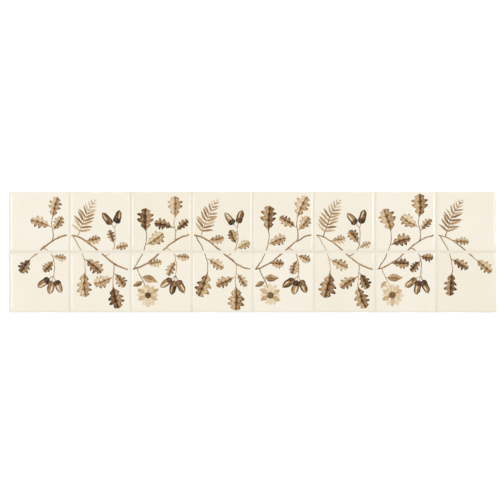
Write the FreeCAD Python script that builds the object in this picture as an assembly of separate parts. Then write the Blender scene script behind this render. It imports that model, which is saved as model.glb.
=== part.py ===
"""Border panel of square cushion-edged wall tiles, laid in courses with grouted joints.

Units are millimetres. The panel lies on its keyed back with the glazed faces up. The origin is the middle of the
back, +X runs along the border, +Y runs from the lower course to the upper one, and +Z points out of the faces.
"""

import FreeCAD, Part
import math
import os

# The laid panel
COLUMNS = 8
COURSES = ("bottom", "top")
JOINT_WIDTH = 3.0

# One pressed tile
TILE_SIZE = 105.0
TILE_THICKNESS = 8.0
CORNER_RADIUS = 1.5
CUSHION_WIDTH = 5.0
CUSHION_DROP = 0.9
ARRIS_RADIUS = 1.0

# The adhesive key pressed into a tile's back
KEY_MARGIN = 8.0
KEY_GROOVE_WIDTH = 7.0
KEY_RIB_WIDTH = 6.0
KEY_DEPTH = 0.8
KEY_DRAFT = 30.0

# The grout between the tiles
GROUT_RECESS = 1.4
GROUT_HOLLOW = 0.4
GROUT_LAND = 0.2
GROUT_RISE = 1.0
GROUT_SETBACK = 0.5

PITCH = TILE_SIZE + JOINT_WIDTH
PANEL_LENGTH = COLUMNS * PITCH - JOINT_WIDTH
PANEL_HEIGHT = len(COURSES) * PITCH - JOINT_WIDTH
HALF_TILE = TILE_SIZE / 2

UP = FreeCAD.Vector(0, 0, 1)
ORIGIN = FreeCAD.Vector(0, 0, 0)


def arc_radius(half_chord, rise):
    """Radius of the arc that rises by rise over half its chord."""
    return (half_chord**2 + rise**2) / (2 * rise)


def section_wire():
    """Cross-section of a tile: flat back, upright sides, rounded arrises, cushioned edges and a flat face."""
    cushion_radius = arc_radius(CUSHION_WIDTH, CUSHION_DROP)
    tilt = math.asin(CUSHION_WIDTH / cushion_radius)
    shoulder_x = HALF_TILE - ARRIS_RADIUS * (1 - math.sin(tilt))
    shoulder_z = TILE_THICKNESS - CUSHION_DROP
    face_x = shoulder_x - CUSHION_WIDTH
    wall_z = shoulder_z - ARRIS_RADIUS * math.cos(tilt)
    arris_turn = (tilt + math.pi / 2) / 2

    def both_sides(x, z):
        return FreeCAD.Vector(-x, 0, z), FreeCAD.Vector(x, 0, z)

    foot = both_sides(HALF_TILE, 0)
    wall = both_sides(HALF_TILE, wall_z)
    arris = both_sides(
        HALF_TILE - ARRIS_RADIUS * (1 - math.sin(arris_turn)),
        wall_z + ARRIS_RADIUS * math.cos(arris_turn),
    )
    shoulder = both_sides(shoulder_x, shoulder_z)
    cushion = both_sides(
        face_x + cushion_radius * math.sin(tilt / 2),
        TILE_THICKNESS - cushion_radius * (1 - math.cos(tilt / 2)),
    )
    face = both_sides(face_x, TILE_THICKNESS)

    edges = [Part.LineSegment(*foot), Part.LineSegment(*face)]
    for side in (0, 1):
        edges.append(Part.LineSegment(foot[side], wall[side]))
        edges.append(Part.Arc(wall[side], arris[side], shoulder[side]))
        edges.append(Part.Arc(shoulder[side], cushion[side], face[side]))
    return Part.Wire(Part.__sortEdges__([edge.toShape() for edge in edges]))


def section_bar():
    """The section run straight along Y, past both sides of the tile."""
    run = 2 * TILE_SIZE
    bar = Part.Face(section_wire()).extrude(FreeCAD.Vector(0, run, 0))
    bar.translate(FreeCAD.Vector(0, -run / 2, 0))
    return bar


def outline_prism():
    """The tile's square outline with its rounded corners, as high as the tile."""
    block = Part.makeBox(TILE_SIZE, TILE_SIZE, TILE_THICKNESS, FreeCAD.Vector(-HALF_TILE, -HALF_TILE, 0))
    uprights = [edge for edge in block.Edges if abs(edge.tangentAt(edge.FirstParameter).z) > 0.5]
    return block.makeFillet(CORNER_RADIUS, uprights)


def key_groove(middle_y):
    """One drafted groove of the adhesive key, which runs along X and opens in the back."""
    length = TILE_SIZE - 2 * KEY_MARGIN
    mouth = KEY_GROOVE_WIDTH / 2
    floor = mouth - KEY_DEPTH * math.tan(math.radians(KEY_DRAFT))
    profile = [(-mouth, 0), (mouth, 0), (floor, KEY_DEPTH), (-floor, KEY_DEPTH), (-mouth, 0)]
    wire = Part.makePolygon([FreeCAD.Vector(-length / 2, middle_y + y, z) for y, z in profile])
    return Part.Face(wire).extrude(FreeCAD.Vector(length, 0, 0))


def key_grooves():
    """As many grooves as the back takes inside its plain margin, centred on the tile."""
    pitch = KEY_GROOVE_WIDTH + KEY_RIB_WIDTH
    count = int((TILE_SIZE - 2 * KEY_MARGIN + KEY_RIB_WIDTH) / pitch)
    return [key_groove((i - (count - 1) / 2) * pitch) for i in range(count)]


def tile():
    """One tile, centred on the origin with its back on the ground."""
    along = section_bar()
    across = along.copy()
    across.rotate(ORIGIN, UP, 90)
    return outline_prism().common(along).common(across).cut(key_grooves()).removeSplitter()


def tile_centre(column, course):
    """Where a tile of the panel stands."""
    x = (column - (COLUMNS - 1) / 2) * PITCH
    y = (course - (len(COURSES) - 1) / 2) * PITCH
    return FreeCAD.Vector(x, y, 0)


def laid_tiles():
    """Every tile of the panel at its place, by name."""
    pressed = tile()
    tiles = {}
    for course, course_name in enumerate(COURSES):
        for column in range(COLUMNS):
            laid = pressed.copy()
            laid.translate(tile_centre(column, course))
            tiles[f"tile_{course_name}_{column + 1}"] = laid
    return tiles


def joint_lines():
    """Middle, direction and length of each joint's centre line."""
    lines = []
    for column in range(1, COLUMNS):
        x = column * PITCH - PANEL_LENGTH / 2 - JOINT_WIDTH / 2
        lines.append((FreeCAD.Vector(x, 0, 0), 90, PANEL_HEIGHT))
    for course in range(1, len(COURSES)):
        y = course * PITCH - PANEL_HEIGHT / 2 - JOINT_WIDTH / 2
        lines.append((FreeCAD.Vector(0, y, 0), 0, PANEL_LENGTH))
    return lines


def grout_bar(length):
    """Grout for one joint along X. It is wider than the joint, and the tiles trim it to their edges."""
    run = length - 2 * GROUT_SETBACK
    width = JOINT_WIDTH + 2 * CORNER_RADIUS
    height = TILE_THICKNESS - GROUT_RECESS - GROUT_RISE
    return Part.makeBox(run, width, height, FreeCAD.Vector(-run / 2, -width / 2, GROUT_RISE))


def tooling_rod(length):
    """The round that hollows one joint along X, as a jointing tool does."""
    radius = arc_radius(JOINT_WIDTH / 2 - GROUT_LAND, GROUT_HOLLOW)
    axis_z = TILE_THICKNESS - GROUT_RECESS - GROUT_HOLLOW + radius
    return Part.makeCylinder(radius, length, FreeCAD.Vector(-length / 2, 0, axis_z), FreeCAD.Vector(1, 0, 0))


def along_joints(make):
    """What make gives for each joint, at its place."""
    placed = []
    for middle, turn, length in joint_lines():
        piece = make(length)
        piece.rotate(ORIGIN, UP, turn)
        piece.translate(middle)
        placed.append(piece)
    return placed


def grout(tiles):
    """All the joints' grout as one piece, trimmed by the tiles and hollowed by the jointing tool."""
    bars = along_joints(grout_bar)
    filled = bars[0].multiFuse(bars[1:])
    return filled.cut(tiles).cut(along_joints(tooling_rod)).removeSplitter()


def main():
    os.makedirs("parts", exist_ok=True)
    tiles = laid_tiles()
    pieces = {**tiles, "grout": grout(list(tiles.values()))}
    for name, shape in pieces.items():
        shape.exportStep(f"parts/{name}.step")


main()
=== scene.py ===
import bmesh
import bpy
import math
import random
from mathutils import Matrix, Vector


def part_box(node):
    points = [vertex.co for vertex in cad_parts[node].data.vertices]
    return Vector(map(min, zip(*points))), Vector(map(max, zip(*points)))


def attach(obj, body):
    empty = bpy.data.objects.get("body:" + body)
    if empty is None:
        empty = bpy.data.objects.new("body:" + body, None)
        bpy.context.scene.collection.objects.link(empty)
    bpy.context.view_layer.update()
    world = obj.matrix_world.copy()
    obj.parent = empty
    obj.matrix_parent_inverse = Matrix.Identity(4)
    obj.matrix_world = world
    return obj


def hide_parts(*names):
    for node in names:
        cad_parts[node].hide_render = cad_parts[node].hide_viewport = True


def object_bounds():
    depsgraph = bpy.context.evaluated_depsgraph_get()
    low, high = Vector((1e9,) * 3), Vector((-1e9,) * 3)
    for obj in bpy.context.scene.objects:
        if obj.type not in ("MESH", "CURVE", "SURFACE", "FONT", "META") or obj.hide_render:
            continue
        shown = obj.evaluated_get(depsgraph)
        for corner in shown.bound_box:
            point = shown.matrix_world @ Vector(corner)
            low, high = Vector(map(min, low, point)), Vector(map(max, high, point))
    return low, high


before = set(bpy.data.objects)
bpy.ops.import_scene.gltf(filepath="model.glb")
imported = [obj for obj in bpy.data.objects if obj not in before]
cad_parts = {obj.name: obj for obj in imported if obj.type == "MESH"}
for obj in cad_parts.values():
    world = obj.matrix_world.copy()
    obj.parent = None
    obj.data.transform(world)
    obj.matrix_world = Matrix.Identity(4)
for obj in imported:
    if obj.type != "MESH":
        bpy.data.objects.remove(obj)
cad_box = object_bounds()

# All lengths are in metres, so a size in millimetres is written times MM.
MM = 0.001

# The laid panel's layout, with its sizes read from the frame
COURSES = ("bottom", "top")
COLUMNS = 8
TILES = {(column, course): f"tile_{course}_{column + 1}" for course in COURSES for column in range(COLUMNS)}
first_low, first_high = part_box(TILES[0, "bottom"])
second_low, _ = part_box(TILES[1, "bottom"])
TILE = first_high.x - first_low.x
PITCH = second_low.x - first_low.x
JOINT = PITCH - TILE
TOP = first_high.z
PANEL_LOW, PANEL_HIGH = cad_box

# The tile's section and the key in its back, as in the solids
CUSHION_WIDTH = 5.0 * MM
CUSHION_DROP = 0.9 * MM
ARRIS_RADIUS = 1.0 * MM
CORNER_RADIUS = 1.5 * MM
KEY_MARGIN = 8.0 * MM
KEY_GROOVE = 7.0 * MM
KEY_RIB = 6.0 * MM
KEY_DEPTH = 0.8 * MM
KEY_DRAFT = math.radians(30)

# The glazed face swells and sinks a little, and the glaze stops above the back in a line of drips
SWELL = 0.16 * MM
SWELL_SPAN = 45 * MM
LEAST_SINK = 0.221 * MM
MOST_SINK = 0.39 * MM
GLAZE_LINE = 0.9 * MM
GLAZE_LINE_BLUR = 0.4 * MM
DRIP_HEIGHT = 3.2 * MM

# The panel's outer sides run in by a wave, which reaches in from the wall and grows away from the corners
EDGE_WAVE = 1.0 * MM
EDGE_WAVE_SPAN = 30 * MM
WAVE_REACH = 9.0 * MM
WAVE_START = 2.0 * MM
WAVE_FULL = 14.0 * MM

# The paint is drawn above the tiles and laid on them as a skin, with a bare border along every joint
ABOVE = 20 * MM
SIDE_BORDER = 2.7 * MM
END_BORDER = 1.3 * MM
PAINT_DEPTH = 0.25 * MM
LEAST_LIFT = 0.05 * MM
MOST_LIFT = 0.17 * MM
LIFT_STEPS = 5
WOBBLE = 3 * MM
WOBBLE_SPAN = 13 * MM

# The running scroll: each cell, from one column's middle to the next, holds half a wave of the stem
CELLS = COLUMNS - 1
WAVE_HEIGHT = 30 * MM
STEM_WIDTH = 3.2 * MM
STEM_END_WIDTH = 0.7 * STEM_WIDTH
TWIG_WIDTH = 1.7 * MM
TWIG_END_WIDTH = 0.7 * TWIG_WIDTH
DAISY_TWIG_END_WIDTH = 0.8 * TWIG_WIDTH

# A brush line's columns, and the share of its width to which its ends narrow over some of them
LINE_STEP = 1.6 * MM
FEWEST_POINTS = 8
FEWEST_COLUMNS = 6
LINE_TIP = 0.6
LINE_RUN_OUT = 1
STEM_TIP = 0.3
STEM_RUN_OUT = 9

# The maker's hand: every chance is drawn from here, in order
hand = random.Random(11)


# Modelling by hand


def deselect():
    bpy.ops.object.select_all(action="DESELECT")


def added(operator, name, **settings):
    """A new primitive, alone in the selection."""
    deselect()
    operator(**settings)
    made = bpy.context.object
    made.name = name
    made.data.name = name
    return made


def make_active(piece):
    deselect()
    piece.select_set(True)
    bpy.context.view_layer.objects.active = piece


def editing(piece):
    make_active(piece)
    bpy.ops.object.mode_set(mode="EDIT")


def done_editing():
    bpy.ops.object.mode_set(mode="OBJECT")


def pick(piece, kind, test):
    """In edit mode, selects only the vertices, edges or faces that pass the test."""
    bpy.ops.mesh.select_mode(type=kind)
    bpy.ops.mesh.select_all(action="DESELECT")
    mesh = bmesh.from_edit_mesh(piece.data)
    items = {"VERT": mesh.verts, "EDGE": mesh.edges, "FACE": mesh.faces}[kind]
    for item in items:
        if test(item):
            item.select_set(True)
    mesh.select_flush_mode()
    bmesh.update_edit_mesh(piece.data)


def cut(place, normal):
    """In edit mode, cuts the whole mesh along a plane."""
    bpy.ops.mesh.select_all(action="SELECT")
    bpy.ops.mesh.bisect(plane_co=place, plane_no=normal)


def finish_with(piece, kind, **settings):
    """Adds a modifier and applies it."""
    make_active(piece)
    modifier = piece.modifiers.new(kind.lower(), kind)
    for key, value in settings.items():
        setattr(modifier, key, value)
    bpy.ops.object.modifier_apply(modifier=modifier.name)


def copy_of(master, name):
    twin = master.copy()
    twin.data = master.data.copy()
    twin.name = name
    twin.data.name = name
    bpy.context.scene.collection.objects.link(twin)
    return twin


def joined(pieces, name):
    deselect()
    for piece in pieces:
        piece.select_set(True)
    bpy.context.view_layer.objects.active = pieces[0]
    bpy.ops.object.join()
    whole = bpy.context.object
    whole.name = name
    whole.data.name = name
    return whole


def smooth_by_angle(piece, degrees):
    make_active(piece)
    bpy.ops.object.shade_smooth_by_angle(angle=math.radians(degrees))


# Node trees


def srgb(red, green, blue):
    """A colour as seen on screen, 0 to 255, as the linear colour that shaders take."""
    def linear(value):
        value /= 255
        return value / 12.92 if value <= 0.04045 else ((value + 0.055) / 1.055) ** 2.4
    return linear(red), linear(green), linear(blue), 1.0


class Nodes:
    """A node tree, with short ways to add and feed its nodes."""

    def __init__(self, tree):
        self.tree = tree

    def feed(self, target, value):
        if isinstance(value, bpy.types.NodeSocket):
            self.tree.links.new(value, target)
        else:
            target.default_value = value

    def add(self, kind, inputs, **settings):
        node = self.tree.nodes.new("ShaderNode" + kind)
        for key, value in settings.items():
            setattr(node, key, value)
        for key, value in inputs.items():
            self.feed(node.inputs[key], value)
        return node

    def math(self, operation, first, second=0.0):
        return self.add("Math", {0: first, 1: second}, operation=operation).outputs[0]


class Finish(Nodes):
    """A material, with short ways to add the nodes that the finishes share."""

    def __init__(self, name):
        self.material = bpy.data.materials.new(name)
        self.material.use_nodes = True
        super().__init__(self.material.node_tree)
        self.shader = self.tree.nodes["Principled BSDF"]

    def plus(self, first, second):
        return self.math("ADD", first, second)

    def minus(self, first, second):
        return self.math("SUBTRACT", first, second)

    def times(self, first, second):
        return self.math("MULTIPLY", first, second)

    def ramp(self, value, low, high):
        """0 up to low, 1 from high on, smooth between. It falls instead where low is above high."""
        inputs = {"Value": value, "From Min": low, "From Max": high}
        return self.add("MapRange", inputs, interpolation_type="SMOOTHSTEP").outputs["Result"]

    def noise(self, scale, detail=2.0, roughness=0.5):
        inputs = {"Vector": self.place(), "Scale": scale, "Detail": detail, "Roughness": roughness}
        return self.add("TexNoise", inputs).outputs["Fac"]

    def place(self):
        return self.add("TexCoord", {}).outputs["Object"]

    def height(self):
        return self.add("SeparateXYZ", {"Vector": self.place()}).outputs["Z"]

    def along_and_across(self):
        """Where a brush mark's own map puts a point: 0 to 1 along it, and -1 to 1 across it."""
        split = self.add("SeparateXYZ", {"Vector": self.add("UVMap", {}, uv_map="UVMap").outputs["UV"]})
        across = self.minus(self.times(split.outputs["Y"], 2.0), 1.0)
        return split.outputs["X"], across

    def attribute(self, name):
        return self.add("Attribute", {}, attribute_name=name).outputs["Fac"]

    def colours(self, value, stops):
        node = self.add("ValToRGB", {"Fac": value})
        elements = node.color_ramp.elements
        while len(elements) < len(stops):
            elements.new(0.5)
        for element, (place, colour) in zip(elements, stops):
            element.position = place
            element.color = colour
        return node.outputs["Color"]

    def mixed(self, share, first, second):
        node = self.add("Mix", {}, data_type="RGBA")
        sockets = {socket.identifier: socket for socket in node.inputs}
        self.feed(sockets["Factor_Float"], share)
        self.feed(sockets["A_Color"], first)
        self.feed(sockets["B_Color"], second)
        return next(socket for socket in node.outputs if socket.identifier == "Result_Color")

    def bump(self, value, strength, distance):
        node = self.add("Bump", {"Height": value, "Strength": strength, "Distance": distance})
        return node.outputs["Normal"]

    def give(self, **inputs):
        """Sets the shader's sockets, written with _ for a space."""
        for key, value in inputs.items():
            self.feed(self.shader.inputs[key.replace("_", " ")], value)
        return self.material


# Finishes of the tiles and the joints


def cream_glaze():
    """Glossy cream glaze over a buff biscuit, which shows on the back and low on the sides."""
    finish = Finish("cream_glaze")
    cloud = finish.noise(scale=28, detail=3)
    firing = finish.attribute("firing")
    tone = finish.plus(finish.times(cloud, 0.6), finish.times(firing, 0.4))
    glaze = finish.colours(tone, [(0.25, srgb(244, 236, 216)), (0.75, srgb(248, 241, 226))])
    grain = finish.noise(scale=900, detail=4, roughness=0.7)
    biscuit = finish.colours(grain, [(0.3, srgb(222, 203, 176)), (0.7, srgb(234, 219, 195))])
    drip = finish.times(finish.noise(scale=70, detail=2), DRIP_HEIGHT)
    glazed = finish.ramp(finish.minus(finish.height(), drip), GLAZE_LINE, GLAZE_LINE + GLAZE_LINE_BLUR)
    swell = finish.times(finish.noise(scale=130, detail=1), 0.03 * MM)
    pits = finish.times(grain, finish.times(finish.minus(1.0, glazed), 0.12 * MM))
    return finish.give(
        Base_Color=finish.mixed(glazed, biscuit, glaze),
        Roughness=finish.plus(finish.times(finish.minus(1.0, glazed), 0.7), 0.1),
        Normal=finish.bump(finish.plus(swell, pits), 1.0, 1.0),
    )


def cream_grout():
    """Sanded cream grout with fine pores."""
    finish = Finish("cream_grout")
    sand = finish.noise(scale=1800, detail=3, roughness=0.65)
    cloud = finish.noise(scale=60, detail=3)
    tone = finish.plus(finish.times(sand, 0.65), finish.times(cloud, 0.35))
    return finish.give(
        Base_Color=finish.colours(tone, [(0.3, srgb(230, 223, 207)), (0.7, srgb(245, 239, 224))]),
        Roughness=0.85,
        Normal=finish.bump(finish.times(sand, 0.25 * MM), 1.0, 1.0),
    )


# Finishes of the paint: each works out how dark the sepia lies, from 0 to 1

SEPIA = [
    (0.0, srgb(238, 221, 190)),
    (0.22, srgb(214, 186, 144)),
    (0.45, srgb(184, 146, 98)),
    (0.68, srgb(131, 90, 44)),
    (0.86, srgb(82, 52, 18)),
    (1.0, srgb(40, 22, 6)),
]

STEM_TONE = 0.56

# A leaf's stalk and an oak leaf's lobes, as shares of its length
PETIOLE = 0.1
PETIOLE_WIDTH = 0.03
LOBE_PITCH = 0.215
LAST_NOTCH = 0.8
LAST_LOBE = LAST_NOTCH + LOBE_PITCH / 2


def sepia_paint(finish, darkness):
    """Sepia under the gloss, mottled as a wash dries."""
    wash = finish.times(finish.minus(finish.noise(scale=320, detail=3, roughness=0.6), 0.5), 0.7)
    grain = finish.times(finish.minus(finish.noise(scale=1500, detail=2), 0.5), 0.16)
    tint = finish.times(finish.minus(finish.attribute("tint"), 0.5), 0.44)
    total = finish.plus(finish.plus(darkness, wash), finish.plus(grain, tint))
    return finish.give(Base_Color=finish.colours(total, SEPIA), Roughness=0.16, Specular_IOR_Level=0.34)


def from_stalk(finish, along, darkness):
    """A leaf's darkness, which is the stem's own where its stalk starts."""
    blade = finish.ramp(along, 0.4 * PETIOLE, 1.3 * PETIOLE)
    return finish.plus(STEM_TONE, finish.times(finish.minus(darkness, STEM_TONE), blade))


def oak_leaf_paint():
    """A vein runs out to the middle of each lobe."""
    finish = Finish("oak_leaf_paint")
    along, across = finish.along_and_across()
    out = finish.math("ABSOLUTE", across)
    rib = finish.ramp(out, 0.10, 0.03)
    lobe = finish.math("FRACT", finish.times(finish.minus(along, LAST_NOTCH), 1 / LOBE_PITCH))
    off_middle = finish.math("ABSOLUTE", finish.minus(lobe, 0.5))
    vein = finish.times(finish.ramp(off_middle, 0.075, 0.02), finish.ramp(out, 0.97, 0.55))
    shaded_half = finish.ramp(across, -0.15, 0.15)
    rim = finish.math("MAXIMUM", finish.ramp(out, 0.80, 0.97), finish.ramp(along, 0.96, 0.995))
    rim = finish.times(rim, finish.plus(0.45, finish.times(shaded_half, 0.55)))
    glow = finish.times(finish.ramp(out, 0.1, 0.45), finish.ramp(out, 0.9, 0.55))
    root = finish.ramp(along, 0.22, 0.04)
    darkness = finish.plus(0.48, finish.times(shaded_half, 0.24))
    for part, share in ((rib, 0.36), (vein, 0.26), (rim, 0.42), (glow, -0.26), (root, 0.24)):
        darkness = finish.plus(darkness, finish.times(part, share))
    return sepia_paint(finish, from_stalk(finish, along, darkness))


def plain_leaf_paint():
    """Veins slant out from the rib."""
    finish = Finish("plain_leaf_paint")
    along, across = finish.along_and_across()
    out = finish.math("ABSOLUTE", across)
    rib = finish.ramp(out, 0.16, 0.05)
    slant = finish.plus(finish.times(along, 7.0), finish.times(out, -0.8))
    vein_place = finish.math("ABSOLUTE", finish.minus(finish.math("FRACT", slant), 0.5))
    vein = finish.ramp(vein_place, 0.12, 0.03)
    rim = finish.ramp(out, 0.72, 0.95)
    shaded_half = finish.ramp(across, 0.2, -0.2)
    darkness = finish.plus(0.26, finish.times(shaded_half, 0.2))
    for part, share in ((rib, 0.28), (vein, 0.12), (rim, 0.22)):
        darkness = finish.plus(darkness, finish.times(part, share))
    return sepia_paint(finish, from_stalk(finish, along, darkness))


def stem_paint():
    """Pale along one edge and dark along the other."""
    finish = Finish("stem_paint")
    _, across = finish.along_and_across()
    lit_edge = finish.ramp(across, 0.0, 0.8)
    low_edge = finish.ramp(across, -0.3, -0.9)
    darkness = finish.plus(STEM_TONE, finish.times(lit_edge, -0.18))
    darkness = finish.plus(darkness, finish.times(low_edge, 0.28))
    return sepia_paint(finish, darkness)


def nut_paint():
    """A long shine on a dark nut."""
    finish = Finish("acorn_nut_paint")
    along, across = finish.along_and_across()
    shine = finish.ramp(finish.math("ABSOLUTE", finish.minus(across, 0.3)), 0.42, 0.05)
    shine = finish.times(shine, finish.times(finish.ramp(along, 0.0, 0.3), finish.ramp(along, 1.0, 0.6)))
    rim = finish.ramp(finish.math("ABSOLUTE", across), 0.55, 0.98)
    darkness = finish.plus(0.68, finish.times(shine, -0.58))
    darkness = finish.plus(darkness, finish.times(rim, 0.42))
    return sepia_paint(finish, darkness)


def cup_paint():
    """Scales between two slanting sets of dark lines."""
    finish = Finish("acorn_cup_paint")
    along, across = finish.along_and_across()
    up = finish.times(along, 22.0)
    around = finish.times(across, 11.0)
    first = finish.math("ABSOLUTE", finish.math("SINE", finish.plus(up, around)))
    second = finish.math("ABSOLUTE", finish.math("SINE", finish.minus(up, around)))
    scale = finish.ramp(finish.math("MINIMUM", first, second), 0.1, 0.8)
    shine = finish.ramp(finish.math("ABSOLUTE", finish.minus(across, 0.3)), 0.5, 0.05)
    darkness = finish.plus(1.1, finish.times(scale, -0.36))
    darkness = finish.plus(darkness, finish.times(shine, -0.24))
    return sepia_paint(finish, darkness)


def petal_paint():
    """Pale, with two streaks and a darker heart."""
    finish = Finish("petal_paint")
    along, across = finish.along_and_across()
    out = finish.math("ABSOLUTE", across)
    streak = finish.ramp(finish.math("ABSOLUTE", finish.minus(out, 0.35)), 0.12, 0.03)
    rim = finish.ramp(out, 0.7, 0.98)
    heart = finish.ramp(along, 0.45, 0.05)
    darkness = finish.plus(0.12, finish.times(streak, 0.14))
    for part, share in ((rim, 0.3), (heart, 0.3)):
        darkness = finish.plus(darkness, finish.times(part, share))
    return sepia_paint(finish, darkness)


def eye_paint():
    """Small pale dots on dark."""
    finish = Finish("daisy_eye_paint")
    cells = finish.add("TexVoronoi", {"Vector": finish.place(), "Scale": 900.0}).outputs["Distance"]
    darkness = finish.plus(0.5, finish.times(finish.ramp(cells, 0.2, 0.6), 0.45))
    return sepia_paint(finish, darkness)


def fern_paint():
    """Darker along the rib, at the rim and towards the frond."""
    finish = Finish("fern_paint")
    along, across = finish.along_and_across()
    out = finish.math("ABSOLUTE", across)
    rib = finish.ramp(out, 0.3, 0.05)
    rim = finish.ramp(out, 0.6, 0.95)
    darkness = finish.plus(0.34, finish.times(rib, 0.2))
    darkness = finish.plus(darkness, finish.times(rim, 0.2))
    darkness = finish.plus(darkness, finish.times(finish.ramp(along, 0.4, 0.0), 0.15))
    return sepia_paint(finish, darkness)


# The kinds of mark with the paint of each, from the lowest to the topmost where they overlap
PAINTS = {
    "stems": stem_paint,
    "ferns": fern_paint,
    "oak_leaves": oak_leaf_paint,
    "plain_leaves": plain_leaf_paint,
    "petals": petal_paint,
    "daisy_eyes": eye_paint,
    "acorn_nuts": nut_paint,
    "acorn_cups": cup_paint,
}
KINDS = list(PAINTS)


# The tiles


def section_rings():
    """The rings of the tile's rolled edge from wall to face, as distances in from the wall and up."""
    radius = (CUSHION_WIDTH**2 + CUSHION_DROP**2) / (2 * CUSHION_DROP)
    tilt = math.asin(CUSHION_WIDTH / radius)
    arris_rings = 6
    cushion_rings = 10
    rings = []
    for ring in range(arris_rings + 1):
        turn = math.pi / 2 + (tilt - math.pi / 2) * ring / arris_rings
        rings.append((ARRIS_RADIUS * (1 - math.sin(turn)), ARRIS_RADIUS * math.cos(turn)))
    shoulder_in, shoulder_up = rings[-1]
    for ring in range(1, cushion_rings + 1):
        turn = tilt * (1 - ring / cushion_rings)
        inward = shoulder_in + CUSHION_WIDTH - radius * math.sin(turn)
        rings.append((inward, shoulder_up + radius * (math.cos(turn) - math.cos(tilt))))
    return rings


def key_grooves():
    """Where each groove of the key starts and ends across the back."""
    pitch = KEY_GROOVE + KEY_RIB
    count = int((TILE - 2 * KEY_MARGIN + KEY_RIB) / pitch)
    middles = [(i - (count - 1) / 2) * pitch for i in range(count)]
    return [(middle - KEY_GROOVE / 2, middle + KEY_GROOVE / 2) for middle in middles]


def is_upright(edge):
    return abs(edge.verts[0].co.z - edge.verts[1].co.z) > 0.5 * edge.calc_length()


def square_block(name, height):
    """A block as large as a tile, from the floor up."""
    block = added(bpy.ops.mesh.primitive_cube_add, name, size=1, location=(0, 0, height / 2))
    block.scale = (TILE, TILE, height)
    bpy.ops.object.transform_apply(location=True, rotation=True, scale=True)
    return block


def master_tile():
    """One tile at the origin: a block with a rolled and cushioned edge, round corners and a keyed back."""
    rings = section_rings()
    tile = square_block("master_tile", TOP - rings[-1][1])
    editing(tile)
    pick(tile, "FACE", lambda face: face.normal.z > 0.5)
    for (near, low), (far, high) in zip(rings, rings[1:]):
        bpy.ops.mesh.inset(thickness=far - near, depth=high - low)
    done_editing()
    outline = square_block("outline", 2 * TOP)
    editing(outline)
    pick(outline, "EDGE", is_upright)
    bpy.ops.mesh.bevel(offset=CORNER_RADIUS, segments=6, affect="EDGES")
    done_editing()
    finish_with(tile, "BOOLEAN", object=outline, operation="INTERSECT", solver="EXACT")
    bpy.data.objects.remove(outline)
    editing(tile)
    cells = 20
    key_end = TILE / 2 - KEY_MARGIN
    for x in [(i / cells - 0.5) * TILE for i in range(1, cells)] + [-key_end, key_end]:
        cut((x, 0, 0), (1, 0, 0))
    for low, high in key_grooves():
        for y in (low, (low + high) / 2, high, high + KEY_RIB / 2):
            cut((0, y, 0), (0, 1, 0))
    for low, high in key_grooves():
        def in_groove(face):
            middle = face.calc_center_median()
            return face.normal.z < -0.5 and low < middle.y < high and abs(middle.x) < key_end
        pick(tile, "FACE", in_groove)
        bpy.ops.mesh.inset(thickness=KEY_DEPTH * math.tan(KEY_DRAFT), depth=-KEY_DEPTH)
    done_editing()
    return tile


def clouds(name, span):
    """A soft random texture that a mesh is displaced by."""
    texture = bpy.data.textures.new(name, "CLOUDS")
    texture.noise_scale = span
    texture.noise_depth = 1
    return texture


def edge_waves():
    texture = clouds("edge_waves", EDGE_WAVE_SPAN)
    texture.contrast = 1.8
    texture.use_clamp = True
    return texture


def outer_sides(low, high):
    """The sides of a tile that lie on the panel's outline, each as its axis and the way in from it."""
    sides = []
    for axis in (0, 1):
        if low[axis] < PANEL_LOW[axis] + MM:
            sides.append((axis, 1))
        if high[axis] > PANEL_HIGH[axis] - MM:
            sides.append((axis, -1))
    return sides


def wave_edges(tile, waves, low, high):
    """Lets the sides on the panel's outline run in a little between their corners, as on hand-made tiles."""
    for axis, inward in outer_sides(low, high):
        along = 1 - axis
        wall = low[axis] if inward == 1 else high[axis]
        edge = tile.vertex_groups.new(name="edge")
        for vertex in tile.data.vertices:
            near_wall = 1 - abs(vertex.co[axis] - wall) / WAVE_REACH
            from_corner = min(vertex.co[along] - low[along], high[along] - vertex.co[along])
            off_corner = (from_corner - WAVE_START) / (WAVE_FULL - WAVE_START)
            share = max(0.0, near_wall) * min(1.0, max(0.0, off_corner))
            edge.add([vertex.index], share, "REPLACE")
        finish_with(
            tile, "DISPLACE", texture=waves, texture_coords="LOCAL", direction="XY"[axis],
            strength=inward * EDGE_WAVE, mid_level=0.0, vertex_group="edge",
        )
        tile.vertex_groups.clear()


def swell_face(tile, swell):
    """Lets the glazed face swell here and there and sink as a whole, and the rolled edge with it."""
    face = tile.vertex_groups.new(name="face")
    rolled = CUSHION_DROP + ARRIS_RADIUS
    for vertex in tile.data.vertices:
        share = (vertex.co.z - (TOP - rolled)) / rolled
        face.add([vertex.index], max(0.0, share), "REPLACE")
    finish_with(
        tile, "DISPLACE", texture=swell, texture_coords="LOCAL", direction="Z", strength=SWELL, mid_level=0.5,
        vertex_group="face",
    )
    sink = hand.uniform(LEAST_SINK, MOST_SINK)
    finish_with(tile, "DISPLACE", direction="Z", strength=-sink, mid_level=0.0, vertex_group="face")
    tile.vertex_groups.clear()


def laid_tile(master, swell, waves, name):
    """A copy of the tile at its node's place, its face and its outer sides a little uneven."""
    low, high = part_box(name)
    tile = copy_of(master, "glazed_" + name)
    tile.data.transform(Matrix.Translation(((low.x + high.x) / 2, (low.y + high.y) / 2, 0)))
    swell_face(tile, swell)
    wave_edges(tile, waves, low, high)
    smooth_by_angle(tile, degrees=35)
    firing = tile.data.attributes.new("firing", "FLOAT", "POINT")
    firing.data.foreach_set("value", [hand.random()] * len(tile.data.vertices))
    return tile


# The painter's marks: each is modelled once, one unit long from the origin along X

# No mark runs out to nothing, so that its tip is still a face
LEAST_HALF_WIDTH = 0.002


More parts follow.
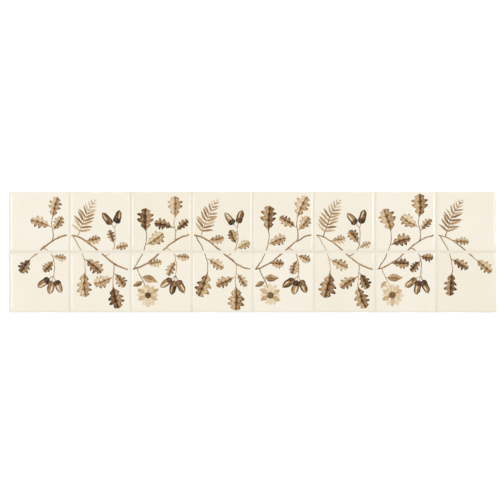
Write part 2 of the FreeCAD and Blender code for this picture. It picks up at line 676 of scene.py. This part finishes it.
def mark(name, columns, rows):
    """A flat strip one unit long and two wide, to be shaped column by column."""
    strip = added(
        bpy.ops.mesh.primitive_grid_add, name, x_subdivisions=columns, y_subdivisions=rows, size=1,
        location=(0.5, 0, 0),
    )
    strip.scale.y = 2
    bpy.ops.object.transform_apply(location=True, rotation=True, scale=True)
    return strip


def shaped_mark(name, columns, rows, half_width, lean=None, bend=0.0):
    """A strip with a half width in each column, its margins leant forward and its middle line bent."""
    strip = mark(name, columns, rows)
    half_rows = rows // 2
    editing(strip)
    for column in range(columns + 1):
        at = column / columns
        width = max(half_width(at), LEAST_HALF_WIDTH)
        pick(strip, "VERT", lambda v: v.index % (columns + 1) == column)
        bpy.ops.transform.resize(value=(1, width, 1), center_override=(at, 0, 0))
        if lean is None:
            continue
        for row in range(1, half_rows + 1):
            def outside(v):
                return v.index % (columns + 1) == column and abs(v.index // (columns + 1) - half_rows) >= row
            pick(strip, "VERT", outside)
            bpy.ops.transform.translate(value=(lean(at) * width / half_rows, 0, 0))
    done_editing()
    if bend:
        finish_with(strip, "SIMPLE_DEFORM", deform_method="BEND", deform_axis="Z", angle=math.radians(bend))
    return strip


def oak_leaf(name, bend, notch_depth, breadth):
    """A lobed leaf on its stalk. Its lobes point forward, and the last is round."""
    def half_width(at):
        if at <= PETIOLE:
            return PETIOLE_WIDTH / 2
        blade = (at - PETIOLE) / (1 - PETIOLE)
        fullness = math.sin(math.pi * (0.88 * blade) ** 1.15) ** 0.7
        outline = breadth * (1 - 0.55 * blade**4) * fullness
        lobes_on = (min(at, LAST_LOBE) - LAST_NOTCH) / LOBE_PITCH
        notch = (0.5 + 0.5 * math.cos(2 * math.pi * lobes_on)) ** 1.6
        tip = max(at - LAST_LOBE, 0) / (1 - LAST_LOBE)
        rounded = max(1 - tip**2, 0) ** 0.5
        return max(outline * (1 - notch_depth * notch) * rounded, PETIOLE_WIDTH / 2 * (1 - blade))

    def lean(at):
        return 0.32 * (1 - at**4)
    return shaped_mark(name, columns=48, rows=8, half_width=half_width, lean=lean, bend=bend)


def plain_leaf(name, bend):
    """A pointed leaf on its stalk."""
    breadth = 0.21

    def half_width(at):
        if at <= PETIOLE:
            return PETIOLE_WIDTH / 2
        blade = (at - PETIOLE) / (1 - PETIOLE)
        return max(breadth * math.sin(math.pi * blade**0.8) ** 1.1, PETIOLE_WIDTH / 2 * (1 - blade))
    return shaped_mark(name, columns=24, rows=6, half_width=half_width, bend=bend)


def daisy_petal(name):
    """A long petal, widest beyond its middle, with a round end."""
    breadth = 0.15
    root = 0.03

    def half_width(at):
        return max(breadth * math.sin(math.pi * at**1.5) ** 0.6, root * (1 - at))
    return shaped_mark(name, columns=32, rows=4, half_width=half_width)


def fern_leaflet(name):
    """A narrow leaflet, widest before its middle."""
    breadth = 0.1

    def half_width(at):
        return breadth * math.sin(math.pi * at**0.8) ** 0.7
    return shaped_mark(name, columns=8, rows=2, half_width=half_width, bend=12)


def acorn_nut(name):
    """A nut with its point at the far end."""
    breadth = 0.31
    shoulder = 0.25
    fall = 0.66
    point_breadth = 0.03
    point_length = 0.12

    def half_width(at):
        body = breadth * max(1 - (max(at - shoulder, 0) / fall) ** 2.4, 0) ** 0.5
        point = point_breadth * (1 - at) / point_length
        return max(body, min(point, point_breadth))
    return shaped_mark(name, columns=18, rows=8, half_width=half_width)


def acorn_cup(name):
    """A cup that opens at the far end over a rounded rim, with the stub of its stalk."""
    stub = 0.12
    stub_breadth = 0.06
    breadth = 0.62
    rim = 0.8

    def half_width(at):
        if at < stub:
            return stub_breadth
        dome = (at - stub) / (1 - stub)
        tuck = 1 - 0.14 * (max(at - rim, 0) / (1 - rim)) ** 2
        return breadth * tuck * max(1 - (1 - dome) ** 2.2, 0.02) ** 0.5

    def lean(at):
        return -0.3
    return shaped_mark(name, columns=20, rows=8, half_width=half_width, lean=lean)


def daisy_eye(name):
    return added(bpy.ops.mesh.primitive_circle_add, name, vertices=24, radius=1, fill_type="TRIFAN")


# Where the scroll runs


class Arc:
    """A line in a cell: a curve through its first and last point, which the two between them pull.

    The points are in millimetres from the cell's left end and the middle joint.
    """

    def __init__(self, *points):
        self.points = [Vector(point) * MM for point in points]

    def at(self, share):
        a, b, c, d = self.points
        rest = 1 - share
        return a * rest**3 + b * 3 * rest**2 * share + c * 3 * rest * share**2 + d * share**3


class Wave:
    """The stem's own line, which runs on from cell to cell."""

    def at(self, share):
        return Vector((share * PITCH, WAVE_HEIGHT * math.sin(math.pi * share)))


def heading_of(line, share):
    """Which way a line runs at a share of its length."""
    step = 0.02
    run = line.at(min(share + step, 1)) - line.at(max(share - step, 0))
    return math.atan2(run.y, run.x)


class Cell:
    """From one column's middle to the next. Every other cell is turned over, so that the wave runs on."""

    def __init__(self, number):
        self.left = PANEL_LOW.x + TILE / 2 + number * PITCH
        self.turn = 1 if number % 2 == 0 else -1

    def place(self, point):
        return Vector((self.left + point.x, self.turn * point.y, ABOVE))

    def angle(self, heading):
        return heading * self.turn

    def points(self, line):
        """Steps along a line, at their places on the panel."""
        chords = 20
        length = sum((line.at((i + 1) / chords) - line.at(i / chords)).length for i in range(chords))
        steps = max(FEWEST_POINTS, int(length / LINE_STEP))
        return [self.place(line.at(i / steps)) for i in range(steps + 1)]


def brush_line(name, points, width, end_width, tip=LINE_TIP, run_out=LINE_RUN_OUT):
    """A flat brush line that follows the points and narrows from one width to another.

    Each end narrows to a share of its width, the tip, over a number of columns, the run-out.
    """
    line = bpy.data.curves.new(name + "_line", "CURVE")
    line.dimensions = "2D"
    line.use_stretch = True
    line.use_deform_bounds = True
    spline = line.splines.new("POLY")
    spline.points.add(len(points) - 1)
    for knot, point in zip(spline.points, points):
        knot.co = (point.x, point.y, 0, 1)
    guide = bpy.data.objects.new(name + "_line", line)
    bpy.context.scene.collection.objects.link(guide)
    length = sum((b - a).length for a, b in zip(points, points[1:]))
    columns = max(FEWEST_COLUMNS, int(length / LINE_STEP))
    strip = mark(name, columns, 2)
    strip.scale = (length, width / 2, 1)
    bpy.ops.object.transform_apply(location=True, rotation=True, scale=True)
    editing(strip)
    for column in range(run_out):
        share = tip + (1 - tip) * column / run_out
        for end in (column, columns - column):
            pick(strip, "VERT", lambda v: v.index % (columns + 1) == end)
            bpy.ops.transform.resize(value=(1, share, 1), center_override=(0, 0, 0))
    done_editing()
    narrowing = end_width / width - 1
    finish_with(strip, "SIMPLE_DEFORM", deform_method="TAPER", deform_axis="X", factor=narrowing)
    finish_with(strip, "CURVE", object=guide, deform_axis="POS_X")
    bpy.data.objects.remove(guide)
    strip.data.transform(Matrix.Translation((0, 0, ABOVE)))
    return strip


class Painting:
    """Gathers the marks of each kind, which are joined into one piece of paint in the end."""

    def __init__(self):
        self.marks = {kind: [] for kind in KINDS}

    def put(self, kind, master, place, heading, length, across=None):
        """A copy of a mark at a place, turned to a heading and scaled to a length, or otherwise across."""
        twin = copy_of(master, kind)
        flip = hand.choice((1, -1))
        size = Matrix.Diagonal((length, (across or length) * flip, 1, 1))
        twin.data.transform(Matrix.Translation(place) @ Matrix.Rotation(heading, 4, "Z") @ size)
        self.keep(kind, twin)

    def keep(self, kind, piece):
        """Adds a finished mark with a tint of its own, a little above the one before it."""
        count = len(piece.data.vertices)
        shade = piece.data.attributes.new("tint", "FLOAT", "POINT")
        shade.data.foreach_set("value", [hand.random()] * count)
        step = (len(self.marks[kind]) % LIFT_STEPS) / LIFT_STEPS
        share = (KINDS.index(kind) + step) / len(KINDS)
        lowest = LEAST_LIFT / MOST_LIFT
        lift = piece.vertex_groups.new(name="lift")
        lift.add(list(range(count)), lowest + (1 - lowest) * share, "REPLACE")
        self.marks[kind].append(piece)


# A cell's twigs. The stem's crest is up here, and the outer twigs grow above it, the bowl twigs below.
OAK_TWIG = Arc((24, 19.3), (30, 34), (20, 46), (24, 58))
DAISY_TWIG = Arc((66, 28.2), (70, 46), (82, 54), (85, 76))
FERN_LINE = Arc((70, 26.8), (76, 48), (84, 70), (100, 92))
ACORN_TWIG = Arc((8, 6.9), (24, 4), (31, -14), (26, -42))
BOWL_TWIG = Arc((60, 29.5), (70, 14), (84, -8), (83, -34))

# Where the stem starts before the first cell and ends past the last, as shares of a cell, each under a leaf
STEM_START = 0.86
STEM_END = 0.16
LEAF_OVERLAP = 0.03

# Leaves as share along their line, side (1 is its left), degrees off it and length in millimetres
OAK_TWIG_LEAVES = ((0.6, 1, 55, 38), (0.42, -1, 50, 32), (0.96, 1, 4, 44))
DAISY_TWIG_LEAVES = ((0.5, 1, 80, 20), (0.35, -1, 50, 30))
ACORN_TWIG_LEAVES = ((0.46, 1, 48, 26), (0.6, -1, 42, 30))
BOWL_TWIG_LEAVES = ((0.7, 1, 46, 37), (0.97, -1, 8, 49))
STEM_LEAVES = ((0.76, 1, 32, 29),)
FIRST_LEAVES = ((STEM_START + LEAF_OVERLAP, 1, 172, 34),)
LAST_LEAVES = ((STEM_END - LEAF_OVERLAP, -1, 8, 36),)
LEAF_SWAY = 4
LEAF_SIZES = (0.92, 1.08)

# Acorns hang in twos and threes, at these degrees off their twig's end
ACORN_PAIR = (-28, 26)
ACORN_TRIO = (-44, -3, 36)
STALK_LENGTH = 8 * MM
STALK_WIDTH = 1.2 * MM
CUP_LENGTH = 10.5 * MM
NUT_LENGTH = 19 * MM
NUT_SEAT = 0.75 * CUP_LENGTH

# Points along an acorn's stalk, as shares of its length. The last lies in the cup.
STALK_POINTS = (0, 0.35, 0.7, 1.05)

# A daisy's petals: their scale along and across, and their sway as a share of the step from one to the next
DAISY_PETALS = 12
PETAL_LENGTH = 20 * MM
PETAL_ACROSS = 23 * MM
PETAL_SWAY = 0.18
PETAL_SIZES = (0.9, 1.08)
DAISY_EYE = 5.6 * MM

# A fern's pairs of leaflets, from first to last along the frond, and their degrees off it at its foot and tip
FERN_PAIRS = 10
FIRST_PAIR = 0.16
LAST_PAIR = 0.98
FROND_WIDTH = 1.9 * MM
FROND_TIP = 0.9 * MM
SHORTEST_LEAFLET = 3 * MM
LONGEST_LEAFLET = 21 * MM
FOOT_SPREAD = 68
TIP_SPREAD = 38


class Marks:
    """The masters of all the marks."""

    def __init__(self):
        self.oak = [
            oak_leaf("oak_leaf_left", bend=22, notch_depth=0.52, breadth=0.32),
            oak_leaf("oak_leaf_right", bend=-14, notch_depth=0.46, breadth=0.35),
            oak_leaf("oak_leaf_long", bend=10, notch_depth=0.56, breadth=0.29),
        ]
        self.plain = plain_leaf("plain_leaf", bend=18)
        self.petal = daisy_petal("daisy_petal")
        self.leaflet = fern_leaflet("fern_leaflet")
        self.nut = acorn_nut("acorn_nut")
        self.cup = acorn_cup("acorn_cup")
        self.eye = daisy_eye("daisy_eye")

    def all(self):
        return [*self.oak, self.plain, self.petal, self.leaflet, self.nut, self.cup, self.eye]


def draw_leaves(painting, kind, masters, cell, line, leaves):
    """Leaves along a line. Which master each one copies, its sway and its size are left to chance."""
    for share, side, spread, length in leaves:
        sway = hand.uniform(-LEAF_SWAY, LEAF_SWAY)
        heading = heading_of(line, share) + math.radians(side * spread + sway)
        size = length * MM * hand.uniform(*LEAF_SIZES)
        painting.put(kind, hand.choice(masters), cell.place(line.at(share)), cell.angle(heading), size)


def draw_twig(painting, cell, line, width, end_width):
    painting.keep("stems", brush_line("stems", cell.points(line), width, end_width))


def draw_acorns(painting, marks, cell, line, spreads):
    """Acorns on short stalks from the end of a twig."""
    for spread in spreads:
        heading = heading_of(line, 1) + math.radians(spread)
        ahead = Vector((math.cos(heading), math.sin(heading)))
        start = line.at(1)
        cup_place = start + ahead * STALK_LENGTH
        nut_place = cup_place + ahead * NUT_SEAT
        stalk = Arc(*[(start + ahead * STALK_LENGTH * share) / MM for share in STALK_POINTS])
        draw_twig(painting, cell, stalk, STALK_WIDTH, STALK_WIDTH)
        painting.put("acorn_cups", marks.cup, cell.place(cup_place), cell.angle(heading), CUP_LENGTH)
        painting.put("acorn_nuts", marks.nut, cell.place(nut_place), cell.angle(heading), NUT_LENGTH)


def draw_daisy(painting, marks, cell, line):
    """A daisy at the end of a twig, its petals overlapping round the eye."""
    middle = cell.place(line.at(1))
    for petal in range(DAISY_PETALS):
        heading = 2 * math.pi * (petal + hand.uniform(-PETAL_SWAY, PETAL_SWAY)) / DAISY_PETALS
        length = PETAL_LENGTH * hand.uniform(*PETAL_SIZES)
        painting.put("petals", marks.petal, middle, heading, length, PETAL_ACROSS)
    painting.put("daisy_eyes", marks.eye, middle, 0, DAISY_EYE)


def draw_fern(painting, marks, cell, line):
    """A frond whose leaflets are longest a third of the way up and shorten towards its tip."""
    draw_twig(painting, cell, line, FROND_WIDTH, FROND_TIP)
    for pair in range(FERN_PAIRS):
        share = FIRST_PAIR + (LAST_PAIR - FIRST_PAIR) * pair / (FERN_PAIRS - 1)
        fullness = math.sin(math.pi * (0.25 + 0.75 * share)) ** 0.9
        length = SHORTEST_LEAFLET + (LONGEST_LEAFLET - SHORTEST_LEAFLET) * fullness
        spread = math.radians(FOOT_SPREAD + (TIP_SPREAD - FOOT_SPREAD) * share)
        for side in (1, -1):
            heading = heading_of(line, share) + side * spread
            painting.put("ferns", marks.leaflet, cell.place(line.at(share)), cell.angle(heading), length)


def draw_stem(painting, wave):
    """The one stem through all the cells, from its first leaf to its last."""
    steps = 60
    first = round((STEM_START - 1) * steps)
    last = round((CELLS + STEM_END) * steps)
    cell = Cell(0)
    points = [cell.place(wave.at(step / steps)) for step in range(first, last + 1)]
    stem = brush_line("stems", points, STEM_WIDTH, STEM_END_WIDTH, STEM_TIP, STEM_RUN_OUT)
    painting.keep("stems", stem)


def draw_scroll(painting, marks):
    """The stem with its twigs. Ferns and threes of acorns take turns with daisies and twos."""
    wave = Wave()
    draw_stem(painting, wave)
    draw_leaves(painting, "oak_leaves", marks.oak, Cell(-1), wave, FIRST_LEAVES)
    draw_leaves(painting, "oak_leaves", marks.oak, Cell(CELLS), wave, LAST_LEAVES)
    for number in range(CELLS):
        cell = Cell(number)
        draw_leaves(painting, "oak_leaves", marks.oak, cell, wave, STEM_LEAVES)
        for twig, leaves in (
            (OAK_TWIG, OAK_TWIG_LEAVES), (ACORN_TWIG, ACORN_TWIG_LEAVES), (BOWL_TWIG, BOWL_TWIG_LEAVES),
        ):
            draw_twig(painting, cell, twig, TWIG_WIDTH, TWIG_END_WIDTH)
            draw_leaves(painting, "oak_leaves", marks.oak, cell, twig, leaves)
        draw_acorns(painting, marks, cell, ACORN_TWIG, ACORN_PAIR if number % 2 else ACORN_TRIO)
        if number % 2:
            draw_twig(painting, cell, DAISY_TWIG, TWIG_WIDTH, DAISY_TWIG_END_WIDTH)
            draw_leaves(painting, "plain_leaves", [marks.plain], cell, DAISY_TWIG, DAISY_TWIG_LEAVES)
            draw_daisy(painting, marks, cell, DAISY_TWIG)
        else:
            draw_fern(painting, marks, cell, FERN_LINE)


# Laying the paint on the tiles


def turn_up(paint):
    """Turns over the faces of the marks that were mirrored."""
    editing(paint)
    pick(paint, "FACE", lambda face: face.normal.z < 0)
    bpy.ops.mesh.flip_normals()
    done_editing()


def cushion_cuts(border):
    """Places on either side of a joint, from its bare border on to the flat of the face."""
    steps = 3
    near = JOINT / 2 + border
    far = JOINT / 2 + CUSHION_WIDTH + ARRIS_RADIUS
    places = [near + (far - near) * step / steps for step in range(steps + 1)]
    return places + [-place for place in places]


def cut_at_joints(paint):
    """Cuts the paint at the bare border along every joint and clears what lies in it."""
    uprights = [PANEL_LOW.x - JOINT / 2 + column * PITCH for column in range(COLUMNS + 1)]
    levels = [PANEL_LOW.y - JOINT / 2 + course * PITCH for course in range(len(COURSES) + 1)]
    editing(paint)
    for x in uprights:
        for place in cushion_cuts(SIDE_BORDER):
            cut((x + place, 0, 0), (1, 0, 0))
    for y in levels:
        for place in cushion_cuts(END_BORDER):
            cut((0, y + place, 0), (0, 1, 0))

    def between_tiles(face):
        middle = face.calc_center_median()
        across = min(abs(middle.x - x) for x in uprights)
        up = min(abs(middle.y - y) for y in levels)
        return across < JOINT / 2 + SIDE_BORDER or up < JOINT / 2 + END_BORDER
    pick(paint, "FACE", between_tiles)
    bpy.ops.mesh.delete(type="FACE")
    done_editing()


def hand_wobble():
    texture = clouds("hand_wobble", WOBBLE_SPAN)
    texture.cloud_type = "COLOR"
    return texture


def laid_paint(kind, pieces, wobble, bed):
    """One kind of mark as a thin closed skin that follows the glaze, with no two marks quite alike."""
    paint = joined(pieces, "painted_" + kind)
    turn_up(paint)
    finish_with(
        paint, "DISPLACE", texture=wobble, texture_coords="LOCAL", direction="RGB_TO_XYZ", strength=WOBBLE,
        mid_level=0.5,
    )
    cut_at_joints(paint)
    finish_with(
        paint, "SHRINKWRAP", target=bed, wrap_method="PROJECT", use_project_z=True,
        use_negative_direction=True, use_positive_direction=False,
    )
    finish_with(paint, "DISPLACE", direction="Z", strength=MOST_LIFT, mid_level=0.0, vertex_group="lift")
    finish_with(paint, "SOLIDIFY", thickness=PAINT_DEPTH, offset=-1.0)
    paint.vertex_groups.clear()
    smooth_by_angle(paint, degrees=40)
    return paint


# The studio

FLOOR_SIZE = 80
FLOOR_DROP = 0.2 * MM
FLOOR_WHITE = 0.9

# The world's light on a level face: the horizon's, and two thirds of what it gains from there to overhead
WORLD_LIGHT = 0.737
HORIZON_LIGHT = 0.22
OVERHEAD_LIGHT = HORIZON_LIGHT + (WORLD_LIGHT - HORIZON_LIGHT) * 3 / 2


def white_floor():
    """A wide floor that shows as white where only the world lights it, and still takes the panel's shadow."""
    floor = added(bpy.ops.mesh.primitive_plane_add, "floor", size=FLOOR_SIZE, location=(0, 0, -FLOOR_DROP))
    finish = Finish("white_floor")
    rays = finish.add("LightPath", {}).outputs
    seen = finish.math("MAXIMUM", rays["Is Camera Ray"], rays["Is Glossy Ray"])
    seen = finish.math("MAXIMUM", seen, rays["Is Transmission Ray"])
    finish.give(
        Base_Color=(FLOOR_WHITE, FLOOR_WHITE, FLOOR_WHITE, 1),
        Roughness=1.0,
        Specular_IOR_Level=0.0,
        Emission_Color=(1, 1, 1, 1),
        Emission_Strength=finish.times(seen, 1 - FLOOR_WHITE * WORLD_LIGHT),
    )
    floor.data.materials.append(finish.material)


def softbox(name, place, size, power):
    """A lamp aimed at the panel's long middle line, its size given across the courses and along them."""
    lamp = bpy.data.lights.new(name, "AREA")
    lamp.shape = "RECTANGLE"
    lamp.size, lamp.size_y = size
    lamp.energy = power
    stand = bpy.data.objects.new(name, lamp)
    bpy.context.scene.collection.objects.link(stand)
    stand.location = place
    aim = Vector((-place[0], 0, -place[2]))
    stand.rotation_euler = aim.to_track_quat("-Z", "Y").to_euler()


def white_world():
    """White light from all round, weak at the horizon and strong overhead."""
    world = bpy.data.worlds.new("studio")
    world.use_nodes = True
    nodes = Nodes(world.node_tree)
    heading = nodes.add("TexCoord", {}).outputs["Generated"]
    upward = nodes.add("SeparateXYZ", {"Vector": heading}).outputs["Z"]
    steepness = nodes.math("ABSOLUTE", upward)
    level = nodes.add("MapRange", {"Value": steepness, "To Min": HORIZON_LIGHT, "To Max": OVERHEAD_LIGHT})
    surround = world.node_tree.nodes["Background"]
    nodes.feed(surround.inputs["Color"], (1, 1, 1, 1))
    nodes.feed(surround.inputs["Strength"], level.outputs["Result"])
    bpy.context.scene.world = world


def softboxes():
    """A near lamp on the left and a far one on the upper right."""
    softbox("left_softbox", place=(-0.78, 0.05, 1.25), size=(0.4, 0.35), power=1.8)
    softbox("right_softbox", place=(2.1, 1.2, 3.5), size=(2.4, 1.2), power=44)


PHOTO_WIDTH = 504
PANEL_PIXELS = 487.9
PANEL_MIDDLE_PIXEL = 252.7
LENS = 135.0
SENSOR = 36.0


def camera():
    """Looks straight down on the panel, which takes up as much of the frame as in the photograph."""
    data = bpy.data.cameras.new("camera")
    data.lens = LENS
    data.sensor_width = SENSOR
    pixel = (PANEL_HIGH.x - PANEL_LOW.x) / PANEL_PIXELS
    view = bpy.data.objects.new("camera", data)
    aside = (PHOTO_WIDTH / 2 - PANEL_MIDDLE_PIXEL) * pixel
    view.location = (aside, 0, TOP + pixel * PHOTO_WIDTH * LENS / SENSOR)
    bpy.context.scene.collection.objects.link(view)
    bpy.context.scene.camera = view


def lay_tiles():
    """The sixteen tiles in place of their nodes."""
    glaze = cream_glaze()
    master = master_tile()
    swell = clouds("glaze_swell", SWELL_SPAN)
    waves = edge_waves()
    tiles = []
    for name in TILES.values():
        tile = laid_tile(master, swell, waves, name)
        tile.data.materials.append(glaze)
        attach(tile, "root")
        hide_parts(name)
        tiles.append(tile)
    bpy.data.objects.remove(master)
    return tiles


def paint_tiles(tiles):
    """The scroll, one piece for each kind of mark."""
    marks = Marks()
    painting = Painting()
    draw_scroll(painting, marks)
    bed = joined([copy_of(tile, "bed") for tile in tiles], "bed")
    wobble = hand_wobble()
    for kind, pieces in painting.marks.items():
        paint = laid_paint(kind, pieces, wobble, bed)
        paint.data.materials.append(PAINTS[kind]())
        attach(paint, "root")
    for spare in [bed, *marks.all()]:
        bpy.data.objects.remove(spare)


def main():
    paint_tiles(lay_tiles())
    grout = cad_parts["grout"]
    grout.data.materials.clear()
    grout.data.materials.append(cream_grout())
    white_floor()
    white_world()
    softboxes()
    camera()
    bpy.context.scene.view_settings.view_transform = "Standard"


main()
